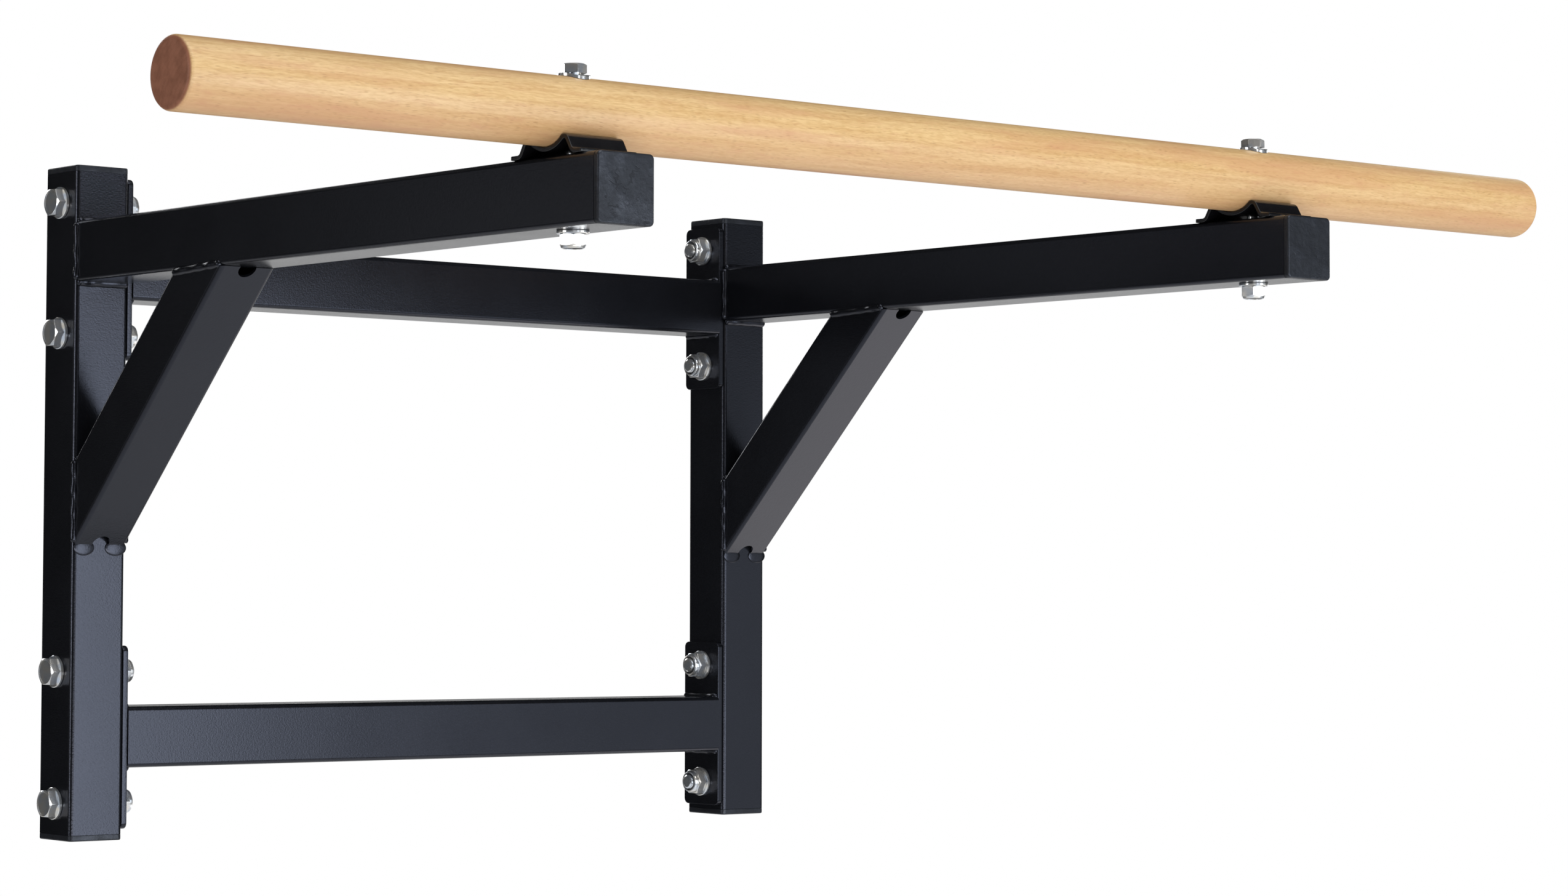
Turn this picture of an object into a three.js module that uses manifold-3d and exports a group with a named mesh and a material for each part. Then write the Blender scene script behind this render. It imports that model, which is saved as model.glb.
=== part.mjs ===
// Wall-mounted pull up bar: a bolted and welded frame of square steel tube that carries a round wooden bar.
// Millimetres, +Z up. The wall is the plane Y = 0, the part stands out of it towards -Y, and +X is along the bar.
// The origin is the middle of the upper crossbar's back face, which lies on the wall.
import * as THREE from 'three';
import { mergeVertices } from 'three/addons/utils/BufferGeometryUtils.js';
import Module from 'manifold-3d';

// Square tube of every steel member
const tubeSize = 40;
const tubeWall = 2;
const tubeCorner = 3;

// Wall frame: two uprights joined by two crossbars
const uprightSpacing = 560;
const uprightLength = 434;
const crossbarInset = 63;

// Arms and braces
const armLength = 537;
const armAxisHeight = 10;
const braceReach = 173;
const ventDiameter = 12.4;
const ventInset = 2.5;

// Round bar and the saddles that cradle it
const barDiameter = 40;
const barLength = 1092;
const barEndRounding = 3;
const barSetback = 42.5;
const saddleSheet = 2.5;
const saddleLift = 2.7;
const saddleDepth = 6;
const saddleBend = 2;
const saddleLegAngle = 40;

// Plates on the crossbars' ends
const plateWidth = 38;
const plateHeight = 120;
const plateThickness = 4;
const plateCorner = 4;
const plateBoltOffset = 43;

// Plastic caps in the open tube ends
const uprightCapThickness = 4;
const armCapThickness = 4;
const capPlugDepth = 12;

// Keyholes in the uprights' back walls, which hang on wall screws
const keyholeHead = 16;
const keyholeSlot = 8.5;
const keyholeRise = 12;
const keyholeUpper = -86;
const keyholeLower = -234;

// M10 bolts across the uprights, with flat washers and lock nuts
const crossBolt = { diameter: 10, length: 60, flats: 17, headHeight: 6.4 };
const crossWasher = { outer: 21, bore: 10.6, thickness: 2 };
const crossNut = { flats: 17, height: 10, hexHeight: 7, collar: 15.6 };

// M8 bolts down through the bar, with curved washers and flanged lock nuts
const barBolt = { diameter: 8, length: 97, flats: 13, headHeight: 5.3 };
const barWasher = { outer: 19, thickness: 1.5 };
const barNut = { flats: 14.5, height: 10, hexHeight: 7.2, collar: 13.8, flange: 18.6, flangeThickness: 1.8 };
const barBoltTurn = { left: 39, right: 50 };

// Clearances
const boltClearance = 1;
const nutClearance = 0.6;
const seatGap = 0.3;
const weldGap = 0.3;
const plugClearance = 0.3;
const hexChamfer = 0.8;
const boltEndChamfer = 1;

// Facets
const boltSegments = 16;
const barSegments = 48;
const hexSegments = 18;
const cornerSegments = 2;
const bendSegments = 3;
const roundingSteps = 3;

// Places that follow from the sizes above
const crossbarSpacing = uprightLength - 2 * crossbarInset;
const uprightBottom = crossbarInset - uprightLength;
const tubeAxisY = -tubeSize / 2;
const frameFront = -tubeSize;
const armUnderside = armAxisHeight - tubeSize / 2;
const armTop = armAxisHeight + tubeSize / 2;
const barRadius = barDiameter / 2;
const barY = frameFront - armLength + barSetback;
const barZ = armTop + saddleLift + saddleSheet + seatGap + barRadius;
const crossbarHeights = { upper: 0, lower: -crossbarSpacing };
const sides = { left: -1, right: 1 };

const wasm = await Module();
wasm.setup();

// A closed geometry as a solid that can be cut and joined
function solid(geometry) {
  geometry.deleteAttribute('normal');
  geometry.deleteAttribute('uv');
  const merged = mergeVertices(geometry);
  const vertProperties = new Float32Array(merged.attributes.position.array);
  const triVerts = new Uint32Array(merged.index.array);
  return new wasm.Manifold(new wasm.Mesh({ numProp: 3, vertProperties, triVerts }));
}

// The geometry of a cut or joined solid
function geometryOf(body) {
  const mesh = body.getMesh();
  const geometry = new THREE.BufferGeometry();
  geometry.setAttribute('position', new THREE.BufferAttribute(new Float32Array(mesh.vertProperties), 3));
  geometry.setIndex(new THREE.BufferAttribute(new Uint32Array(mesh.triVerts), 1));
  geometry.computeVertexNormals();
  return geometry;
}

function material(color, roughness, metalness) {
  return new THREE.MeshStandardMaterial({ color, roughness, metalness });
}

const powderCoat = () => material(0x24242a, 0.5, 0.2);
const beech = () => material(0xdbb178, 0.5, 0);
const zinc = () => material(0xbfc6cf, 0.3, 1);
const blackPlastic = () => material(0x2b2b2d, 0.65, 0);

function piece(name, geometry, finish) {
  const mesh = new THREE.Mesh(geometry, finish);
  mesh.name = name;
  return mesh;
}

// A rectangle with rounded corners, centred on the origin
function roundedRectangle(width, height, corner) {
  const radius = Math.min(corner, width / 2, height / 2);
  const x = width / 2 - radius;
  const y = height / 2 - radius;
  const outline = new THREE.Shape();
  outline.absarc(x, y, radius, 0, Math.PI / 2, false);
  outline.absarc(-x, y, radius, Math.PI / 2, Math.PI, false);
  outline.absarc(-x, -y, radius, Math.PI, 1.5 * Math.PI, false);
  outline.absarc(x, -y, radius, 1.5 * Math.PI, 2 * Math.PI, false);
  outline.closePath();
  return outline;
}

// A hollow square section of the given outer size, wall and outer corner
function hollowSquare(size, wall, corner) {
  const section = roundedRectangle(size, size, corner);
  const inner = size - 2 * wall;
  section.holes.push(roundedRectangle(inner, inner, Math.max(corner - wall, wall / 2)));
  return section;
}

function extrude(shape, depth, curveSegments = cornerSegments) {
  return new THREE.ExtrudeGeometry(shape, { depth, curveSegments, bevelEnabled: false });
}

// A round solid along Z from low to high
function cylinder(diameter, low, high, segments = boltSegments) {
  const geometry = new THREE.CylinderGeometry(diameter / 2, diameter / 2, high - low, segments);
  geometry.rotateX(Math.PI / 2);
  geometry.translate(0, 0, (low + high) / 2);
  return geometry;
}

// A solid of revolution about Z, its profile given as [radius, height] pairs
function turned(profile, segments = boltSegments) {
  const points = profile.map(([radius, height]) => new THREE.Vector2(radius, height));
  const geometry = new THREE.LatheGeometry(points, segments);
  geometry.rotateX(Math.PI / 2);
  return geometry;
}

function squareTube(length) {
  return extrude(hollowSquare(tubeSize, tubeWall, tubeCorner), length);
}

// One keyhole through a wall that faces +Y: a round for the screw's head, and a slot above it for its shank
function keyholeCutter(height) {
  const low = -tubeWall * 2;
  const head = solid(cylinder(keyholeHead, low, tubeWall));
  const slotEnd = solid(cylinder(keyholeSlot, low, tubeWall).translate(0, -keyholeRise, 0));
  const slot = new THREE.BoxGeometry(keyholeSlot, keyholeRise, tubeWall - low);
  slot.translate(0, -keyholeRise / 2, (low + tubeWall) / 2);
  const cutter = head.add(slotEnd).add(solid(slot));
  return cutter.rotate([-90, 0, 0]).translate([0, tubeSize / 2, height]);
}

// An upright stands on its lower end at the origin, its axis along Z
function uprightGeometry() {
  let body = solid(squareTube(uprightLength));
  for (const height of Object.values(crossbarHeights)) {
    for (const offset of [-plateBoltOffset, plateBoltOffset]) {
      body = body.subtract(crossHoleCutter(tubeSize, height + offset - uprightBottom));
    }
  }
  for (const height of [keyholeUpper, keyholeLower]) {
    body = body.subtract(keyholeCutter(height - uprightBottom));
  }
  return geometryOf(body);
}

// Turns a geometry that was extruded along Z so that it runs along X, its outline's x and y along Y and Z
function alongX(geometry) {
  const axisX = new THREE.Vector3(1, 0, 0);
  const axisY = new THREE.Vector3(0, 1, 0);
  const axisZ = new THREE.Vector3(0, 0, 1);
  return geometry.applyMatrix4(new THREE.Matrix4().makeBasis(axisY, axisZ, axisX));
}

// A cutter for a cross bolt's hole: it runs along X and passes the origin by the given reach on both sides
function crossHoleCutter(reach, height) {
  const cutter = alongX(cylinder(crossBolt.diameter + boltClearance, -reach, reach));
  return solid(cutter.translate(0, 0, height));
}

// A plate stands on the plane X = 0 and is as thick as it reaches along +X
function plateGeometry() {
  let body = solid(alongX(extrude(roundedRectangle(plateWidth, plateHeight, plateCorner), plateThickness)));
  for (const offset of [-plateBoltOffset, plateBoltOffset]) {
    body = body.subtract(crossHoleCutter(2 * plateThickness, offset));
  }
  return geometryOf(body);
}

// An arm runs along +Z from its welded end, with the bar bolt's holes through its upper and lower walls
function armGeometry() {
  const hole = cylinder(barBolt.diameter + boltClearance, -tubeSize, tubeSize);
  hole.rotateX(Math.PI / 2);
  hole.translate(0, 0, armLength - barSetback);
  return geometryOf(solid(squareTube(armLength)).subtract(solid(hole)));
}

// A brace fills the corner between the upright's front and the arm's underside, at the origin, cut to both
function braceGeometry() {
  const centreDistance = braceReach / Math.SQRT2 - tubeSize / 2;
  const outerLength = braceReach * Math.SQRT2;
  const stock = squareTube(2 * outerLength);
  stock.translate(0, -centreDistance, -outerLength);
  let body = solid(stock);
  for (const end of [-1, 1]) {
    const vent = cylinder(ventDiameter, 0, tubeSize / 2);
    vent.rotateX(Math.PI / 2);
    vent.translate(0, -centreDistance, end * (outerLength / 2 - ventInset));
    body = body.subtract(solid(vent));
  }
  const corner = new THREE.BoxGeometry(2 * tubeSize, 2 * braceReach, 2 * braceReach);
  corner.translate(0, -braceReach - weldGap, -braceReach - weldGap);
  return geometryOf(body.rotate([45, 0, 0]).intersect(solid(corner)));
}

// The saddle's outline across the bar: two legs on the arm, two bends and a trough that follows the bar
function saddleOutline() {
  const middle = saddleSheet / 2;
  const barCentre = barZ - armTop;
  const troughRadius = barRadius + seatGap + middle;
  const bendRadius = saddleBend + middle;
  const bendHeight = saddleLift + saddleSheet + saddleDepth - middle - bendRadius;
  const bendCentre = Math.sqrt((troughRadius + bendRadius) ** 2 - (barCentre - bendHeight) ** 2);
  const leg = THREE.MathUtils.degToRad(saddleLegAngle);
  const legTurn = Math.PI / 2 - leg;
  const troughTurn = Math.atan2(bendHeight - barCentre, bendCentre);
  const footAt = (radius) => {
    const run = (bendHeight + Math.cos(leg) * radius) / Math.sin(leg);
    return bendCentre + Math.sin(leg) * radius + Math.cos(leg) * run;
  };
  const upper = bendRadius + middle;
  const lower = bendRadius - middle;
  const shape = new THREE.Shape();
  shape.moveTo(-footAt(lower), 0);
  shape.lineTo(-footAt(upper), 0);
  shape.absarc(-bendCentre, bendHeight, upper, Math.PI - legTurn, -troughTurn, true);
  shape.absarc(0, barCentre, troughRadius - middle, Math.PI - troughTurn, 2 * Math.PI + troughTurn, false);
  shape.absarc(bendCentre, bendHeight, upper, Math.PI + troughTurn, legTurn, true);
  shape.lineTo(footAt(upper), 0);
  shape.lineTo(footAt(lower), 0);
  shape.absarc(bendCentre, bendHeight, lower, legTurn, Math.PI + troughTurn, false);
  shape.absarc(0, barCentre, troughRadius + middle, 2 * Math.PI + troughTurn, Math.PI - troughTurn, true);
  shape.absarc(-bendCentre, bendHeight, lower, -troughTurn, Math.PI - legTurn, false);
  shape.closePath();
  return shape;
}

// A saddle lies on the arm's top, at Z = 0, centred on the bar's axis
function saddleGeometry() {
  const sheet = alongX(extrude(saddleOutline(), tubeSize, bendSegments));
  sheet.translate(-tubeSize / 2, 0, 0);
  const hole = cylinder(barBolt.diameter + boltClearance, 0, barZ - armTop);
  return geometryOf(solid(sheet).subtract(solid(hole)));
}

// The bar runs along X, its middle at the origin, with a hole for each bar bolt
function barGeometry() {
  const half = barLength / 2;
  const rounding = Math.min(barEndRounding, barRadius / 2);
  const profile = [[0, -half]];
  for (const end of [-1, 1]) {
    for (let step = 0; step <= roundingSteps; step += 1) {
      const along = end < 0 ? step : roundingSteps - step;
      const turn = (along / roundingSteps) * (Math.PI / 2);
      const radius = barRadius - rounding + rounding * Math.sin(turn);
      profile.push([radius, end * (half - rounding + rounding * Math.cos(turn))]);
    }
  }
  profile.push([0, half]);
  const rod = turned(profile, barSegments).rotateY(Math.PI / 2);
  let body = solid(rod);
  for (const side of Object.values(sides)) {
    const hole = cylinder(barBolt.diameter + boltClearance, -barDiameter, barDiameter);
    hole.translate((side * uprightSpacing) / 2, 0, 0);
    body = body.subtract(solid(hole));
  }
  return geometryOf(body);
}

// A cap closes a tube's end: its flange lies on the end at Z = 0 and its plug reaches down into the tube
function capGeometry(thickness) {
  const flange = extrude(roundedRectangle(tubeSize, tubeSize, tubeCorner), thickness);
  const plugSize = tubeSize - 2 * (tubeWall + plugClearance);
  const plug = extrude(roundedRectangle(plugSize, plugSize, tubeCorner), capPlugDepth, 1);
  plug.translate(0, 0, -capPlugDepth);
  return geometryOf(solid(flange).add(solid(plug)));
}

// A six-sided solid along Z from low to high, with its corners taken off at the top
function hexagon(flats, low, high) {
  const corners = flats / Math.cos(Math.PI / 6);
  const cut = Math.min(hexChamfer, (high - low) / 4);
  const small = flats / 2;
  const large = corners / 2;
  const facetFit = 1 / Math.cos(Math.PI / hexSegments);
  const profile = [
    [0, low],
    [large * facetFit, low],
    [large * facetFit, high - cut],
    [small * facetFit, high],
    [0, high],
  ];
  return solid(cylinder(corners, low, high, 6)).intersect(solid(turned(profile, hexSegments)));
}

// A hex bolt: its head ends at Z = 0 and its shank runs along -Z
function boltGeometry(bolt) {
  const radius = bolt.diameter / 2;
  const chamfer = Math.min(boltEndChamfer, radius / 2);
  const shank = turned([
    [0, -bolt.length],
    [radius - chamfer, -bolt.length],
    [radius, chamfer - bolt.length],
    [radius, bolt.headHeight / 2],
    [0, bolt.headHeight / 2],
  ]);
  return geometryOf(hexagon(bolt.flats, 0, bolt.headHeight).add(solid(shank)));
}

// A lock nut stands on Z = 0 and rises along +Z to the round collar that holds its ring
function nutGeometry(nut, boltDiameter) {
  let body = hexagon(nut.flats, 0, nut.hexHeight);
  const rise = nut.height - nut.hexHeight;
  const collar = turned([
    [0, nut.hexHeight / 2],
    [nut.collar / 2, nut.hexHeight / 2],
    [nut.collar / 2, nut.height - rise / 2],
    [nut.collar / 2 - rise / 3, nut.height],
    [0, nut.height],
  ]);
  body = body.add(solid(collar));
  if (nut.flange) {
    const flange = turned([
      [0, 0],
      [nut.flange / 2, 0],
      [nut.flange / 2, nut.flangeThickness],
      [0, nut.flangeThickness],
    ], hexSegments);
    body = body.add(solid(flange));
  }
  const bore = cylinder(boltDiameter + nutClearance, -nut.height, 2 * nut.height);
  return geometryOf(body.subtract(solid(bore)));
}

// A flat washer lies on Z = 0
function washerGeometry(washer) {
  const inner = washer.bore / 2;
  const outer = washer.outer / 2;
  const profile = [
    [inner, 0],
    [outer, 0],
    [outer, washer.thickness],
    [inner, washer.thickness],
    [inner, 0],
  ];
  return turned(profile, hexSegments);
}

// A washer bent over the bar, whose axis runs along X through the origin
function curvedWasherGeometry() {
  const inner = barDiameter + 2 * seatGap;
  const outer = inner + 2 * barWasher.thickness;
  const reach = barWasher.outer;
  const shell = solid(cylinder(outer, -reach, reach, barSegments));
  const bent = shell.subtract(solid(cylinder(inner, -2 * reach, 2 * reach, barSegments))).rotate([0, 90, 0]);
  const disc = solid(cylinder(barWasher.outer, 0, outer, hexSegments));
  const hole = solid(cylinder(barBolt.diameter + boltClearance, 0, outer));
  return geometryOf(bent.intersect(disc).subtract(hole));
}

// One bolt across an upright with its washers and nut, from the upright's outer side inwards
function crossFastener(name, side) {
  const group = new THREE.Group();
  const plateFace = tubeSize + plateThickness;
  const headWasher = piece(`cross_head_washer_${name}`, washerGeometry(crossWasher), zinc());
  const bolt = piece(`cross_bolt_${name}`, boltGeometry(crossBolt), zinc());
  bolt.position.z = crossWasher.thickness;
  const nutWasher = piece(`cross_nut_washer_${name}`, washerGeometry(crossWasher), zinc());
  nutWasher.position.z = -plateFace - crossWasher.thickness;
  const nut = piece(`cross_nut_${name}`, nutGeometry(crossNut, crossBolt.diameter), zinc());
  nut.rotation.x = Math.PI;
  nut.position.z = nutWasher.position.z;
  group.add(headWasher, bolt, nutWasher, nut);
  group.rotation.y = (side * Math.PI) / 2;
  return group;
}

// One side of the frame, centred on its upright: upright, caps, arm, brace, saddle and the bar's fastening
function sideFrame(name, side) {
  const group = new THREE.Group();
  const uprightTop = uprightBottom + uprightLength;

  const upright = piece(`upright_${name}`, uprightGeometry(), powderCoat());
  upright.position.set(0, tubeAxisY, uprightBottom);
  const topCap = piece(`upright_cap_${name}_top`, capGeometry(uprightCapThickness), blackPlastic());
  topCap.position.set(0, tubeAxisY, uprightTop);
  const bottomCap = piece(`upright_cap_${name}_bottom`, capGeometry(uprightCapThickness), blackPlastic());
  bottomCap.position.set(0, tubeAxisY, uprightBottom);
  bottomCap.rotation.x = Math.PI;

  const arm = piece(`arm_${name}`, armGeometry(), powderCoat());
  arm.position.set(0, frameFront, armAxisHeight);
  arm.rotation.x = Math.PI / 2;
  const armCap = piece(`arm_cap_${name}`, capGeometry(armCapThickness), blackPlastic());
  armCap.position.set(0, frameFront - armLength, armAxisHeight);
  armCap.rotation.x = Math.PI / 2;
  const brace = piece(`brace_${name}`, braceGeometry(), powderCoat());
  brace.position.set(0, frameFront, armUnderside);

  const saddle = piece(`saddle_${name}`, saddleGeometry(), powderCoat());
  saddle.position.set(0, barY, armTop);
  const washer = piece(`bar_washer_${name}`, curvedWasherGeometry(), zinc());
  washer.position.set(0, barY, barZ);
  const turn = -THREE.MathUtils.degToRad(barBoltTurn[name]);
  const bolt = piece(`bar_bolt_${name}`, boltGeometry(barBolt), zinc());
  bolt.position.set(0, barY, barZ + barRadius + barWasher.thickness + 2 * seatGap);
  bolt.rotation.z = turn;
  const nut = piece(`bar_nut_${name}`, nutGeometry(barNut, barBolt.diameter), zinc());
  nut.position.set(0, barY, armUnderside);
  nut.rotation.set(Math.PI, 0, -turn);

  group.add(upright, topCap, bottomCap, arm, armCap, brace, saddle, washer, bolt, nut);
  for (const [level, height] of Object.entries(crossbarHeights)) {
    for (const [place, offset] of Object.entries({ above: plateBoltOffset, below: -plateBoltOffset })) {
      const fastener = crossFastener(`${name}_${level}_${place}`, side);
      fastener.position.set((side * tubeSize) / 2, tubeAxisY, height + offset);
      group.add(fastener);
    }
  }
  group.position.x = (side * uprightSpacing) / 2;
  return group;
}

// One crossbar with the plates on its ends, centred on its axis
function crossbarAssembly(level) {
  const group = new THREE.Group();
  const clearSpan = uprightSpacing - tubeSize;
  const length = clearSpan - 2 * plateThickness;
  const crossbar = piece(`crossbar_${level}`, squareTube(length), powderCoat());
  crossbar.rotation.y = Math.PI / 2;
  crossbar.position.x = -length / 2;
  group.add(crossbar);
  for (const [name, side] of Object.entries(sides)) {
    const plate = piece(`flange_plate_${name}_${level}`, plateGeometry(), powderCoat());
    plate.position.x = side < 0 ? -clearSpan / 2 : clearSpan / 2 - plateThickness;
    group.add(plate);
  }
  group.position.set(0, tubeAxisY, crossbarHeights[level]);
  return group;
}

const model = new THREE.Group();
for (const [name, side] of Object.entries(sides)) {
  model.add(sideFrame(name, side));
}
for (const level of Object.keys(crossbarHeights)) {
  model.add(crossbarAssembly(level));
}
const bar = piece('bar', barGeometry(), beech());
bar.position.set(0, barY, barZ);
model.add(bar);

export default model;
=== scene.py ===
import math

import bmesh
import bpy
from mathutils import Matrix, Vector


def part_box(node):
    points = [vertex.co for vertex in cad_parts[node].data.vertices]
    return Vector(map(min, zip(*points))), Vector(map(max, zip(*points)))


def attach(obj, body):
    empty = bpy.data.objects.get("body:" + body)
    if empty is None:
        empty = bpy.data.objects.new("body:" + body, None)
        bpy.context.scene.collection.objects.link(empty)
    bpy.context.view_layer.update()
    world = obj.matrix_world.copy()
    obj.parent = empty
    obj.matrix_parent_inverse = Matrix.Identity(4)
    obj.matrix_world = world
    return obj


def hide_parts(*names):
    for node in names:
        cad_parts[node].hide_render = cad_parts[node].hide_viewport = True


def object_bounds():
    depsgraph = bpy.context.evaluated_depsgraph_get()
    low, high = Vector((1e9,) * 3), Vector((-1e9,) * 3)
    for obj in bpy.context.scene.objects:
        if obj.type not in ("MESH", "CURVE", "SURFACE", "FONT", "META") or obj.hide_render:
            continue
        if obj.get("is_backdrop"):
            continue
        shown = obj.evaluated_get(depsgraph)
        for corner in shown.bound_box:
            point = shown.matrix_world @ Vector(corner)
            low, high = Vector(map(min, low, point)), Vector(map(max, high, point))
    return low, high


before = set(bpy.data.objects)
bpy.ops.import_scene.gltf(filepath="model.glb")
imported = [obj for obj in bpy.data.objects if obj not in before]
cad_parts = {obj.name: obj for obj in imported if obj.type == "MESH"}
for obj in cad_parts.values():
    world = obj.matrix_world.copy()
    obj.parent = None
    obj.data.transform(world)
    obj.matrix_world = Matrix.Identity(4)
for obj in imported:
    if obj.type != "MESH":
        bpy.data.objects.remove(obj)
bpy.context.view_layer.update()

bpy.ops.object.select_all(action="DESELECT")
mm = 0.001


# --------------------------------------------------------------------------------------------------
# Uprights
# Two lengths of drawn square steel tube, sawn square and drilled for four cross bolts. Each has two
# keyholes in its back wall, which hang on wall screws, and is powder coated black once its arm and
# brace are welded on.
# --------------------------------------------------------------------------------------------------
tube_wall = 2 * mm
tube_corner = 3 * mm
crumb = 0.01 * mm
crease = math.radians(32)
bolt_hole = 11 * mm
overshoot = 5 * mm
upright_bore = 50 * mm
keyhole_head = 16 * mm
keyhole_slot = 8.5 * mm
keyhole_rise = 12 * mm
keyhole_reach = 3 * mm
keyhole_heights = (-86 * mm, -234 * mm)
sides = ("left", "right")
coat_black = (0.0022, 0.0024, 0.0034, 1)
# The worn tone also colours the tiny specks of painted glint in the powder coat.
coat_worn_and_glint = (0.009, 0.0098, 0.012, 1)
coat_sheen = (0.74, 0.79, 1.0, 1)


def begin(name):
    """Names the primitive just added, puts its place into its mesh and opens it for editing."""
    piece = bpy.context.object
    piece.name = name
    bpy.ops.object.transform_apply(location=True, rotation=True, scale=True)
    bpy.ops.object.mode_set(mode="EDIT")
    return piece


def pick(piece, kind, test):
    """Selects the faces, edges or corners whose middle and direction pass the test."""
    bpy.ops.mesh.select_mode(type=kind)
    shape = bmesh.from_edit_mesh(piece.data)
    for part in (*shape.verts, *shape.edges, *shape.faces):
        part.select_set(False)
    if kind == "FACE":
        parts = [(face, face.calc_center_median(), face.normal) for face in shape.faces]
    elif kind == "EDGE":
        ends = [(edge, edge.verts[0].co, edge.verts[1].co) for edge in shape.edges]
        parts = [(edge, (a + b) / 2, (b - a).normalized()) for edge, a, b in ends]
    else:
        parts = [(corner, corner.co, corner.normal) for corner in shape.verts]
    for part, middle, way in parts:
        if test(middle, way):
            part.select_set(True)
    shape.select_flush_mode()
    bmesh.update_edit_mesh(piece.data)


def close(piece):
    """Ends the editing of a piece."""
    bpy.ops.object.mode_set(mode="OBJECT")
    return piece


def apply(piece, kind, **settings):
    """Gives the piece one modifier and makes its effect part of the mesh."""
    bpy.context.view_layer.objects.active = piece
    change = piece.modifiers.new("change", kind)
    for name, value in settings.items():
        setattr(change, name, value)
    bpy.ops.object.modifier_apply(modifier=change.name)


def soften(piece, width, steps, angle):
    """Rounds off the edges that turn by more than the angle, in degrees."""
    limit = math.radians(angle)
    apply(piece, "BEVEL", width=width, segments=steps, limit_method="ANGLE", angle_limit=limit)


def clean(piece):
    """Merges the corners that lie on top of each other, so that no face is left without a width."""
    shape = bmesh.new()
    shape.from_mesh(piece.data)
    bmesh.ops.remove_doubles(shape, verts=shape.verts, dist=crumb)
    bmesh.ops.dissolve_degenerate(shape, edges=shape.edges, dist=crumb)
    shape.to_mesh(piece.data)
    shape.free()


def cut(piece, tool, operation="DIFFERENCE"):
    """Takes the tool's shape out of the piece, or joins it on, and puts the tool away."""
    apply(piece, "BOOLEAN", operation=operation, object=tool, solver="EXACT")
    bpy.data.objects.remove(tool)
    clean(piece)


def join(first, *others):
    """Makes several pieces into one, which keeps the first one's name."""
    bpy.ops.object.select_all(action="DESELECT")
    for piece in (first, *others):
        piece.select_set(True)
    bpy.context.view_layer.objects.active = first
    bpy.ops.object.join()
    return first


def centre_of(node):
    """The middle of a node's box."""
    low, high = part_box(node)
    return (low + high) / 2


def drill(piece, diameter, start, end):
    """Bores a round hole from one point to another."""
    way = end - start
    turn = way.to_track_quat("Z", "Y").to_euler()
    bpy.ops.mesh.primitive_cylinder_add(
        vertices=32, radius=diameter / 2, depth=way.length, location=(start + end) / 2, rotation=turn
    )
    cut(piece, bpy.context.object)


def square_tube(name, low, high, axis):
    """A square tube that fills the box between two corners and is open at both ends of its axis."""
    bpy.ops.mesh.primitive_cube_add(size=1, location=(low + high) / 2, scale=high - low)
    tube = begin(name)
    pick(tube, "EDGE", lambda middle, way: abs(way[axis]) > 0.9)
    bpy.ops.mesh.bevel(offset=tube_corner, segments=6, affect="EDGES")
    pick(tube, "FACE", lambda middle, way: abs(way[axis]) > 0.9)
    bpy.ops.mesh.delete(type="FACE")
    close(tube)
    apply(tube, "SOLIDIFY", thickness=tube_wall, offset=-1, use_even_offset=True)
    return tube


def dress(piece, *finishes):
    """Rounds the look of the curves, keeps the flats flat and gives the piece its finish."""
    clean(piece)
    bpy.ops.object.select_all(action="DESELECT")
    piece.select_set(True)
    bpy.context.view_layer.objects.active = piece
    bpy.ops.object.shade_smooth_by_angle(angle=crease)
    apply(piece, "WEIGHTED_NORMAL", keep_sharp=True)
    if finishes:
        piece.data.materials.clear()
        for finish in finishes:
            piece.data.materials.append(finish)


class Amount:
    """A number that changes over a surface. Sums on it add their own maths nodes."""

    def __init__(self, finish, socket):
        self.finish = finish
        self.socket = socket

    def work(self, operation, first, second=0.0):
        node = self.finish.add("ShaderNodeMath", {"operation": operation}, {0: first, 1: second})
        return Amount(self.finish, node.outputs[0])

    def __add__(self, other):
        return self.work("ADD", self, other)

    def __sub__(self, other):
        return self.work("SUBTRACT", self, other)

    def __rsub__(self, other):
        return self.work("SUBTRACT", other, self)

    def __mul__(self, other):
        return self.work("MULTIPLY", self, other)

    def __truediv__(self, other):
        return self.work("DIVIDE", self, other)

    __radd__ = __add__
    __rmul__ = __mul__

    def fade(self, start, end):
        """Nought below start, one above end, and a smooth rise between them."""
        node = self.finish.add(
            "ShaderNodeMapRange",
            {"interpolation_type": "SMOOTHSTEP"},
            {"Value": self, "From Min": start, "From Max": end},
        )
        return Amount(self.finish, node.outputs["Result"])


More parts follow.
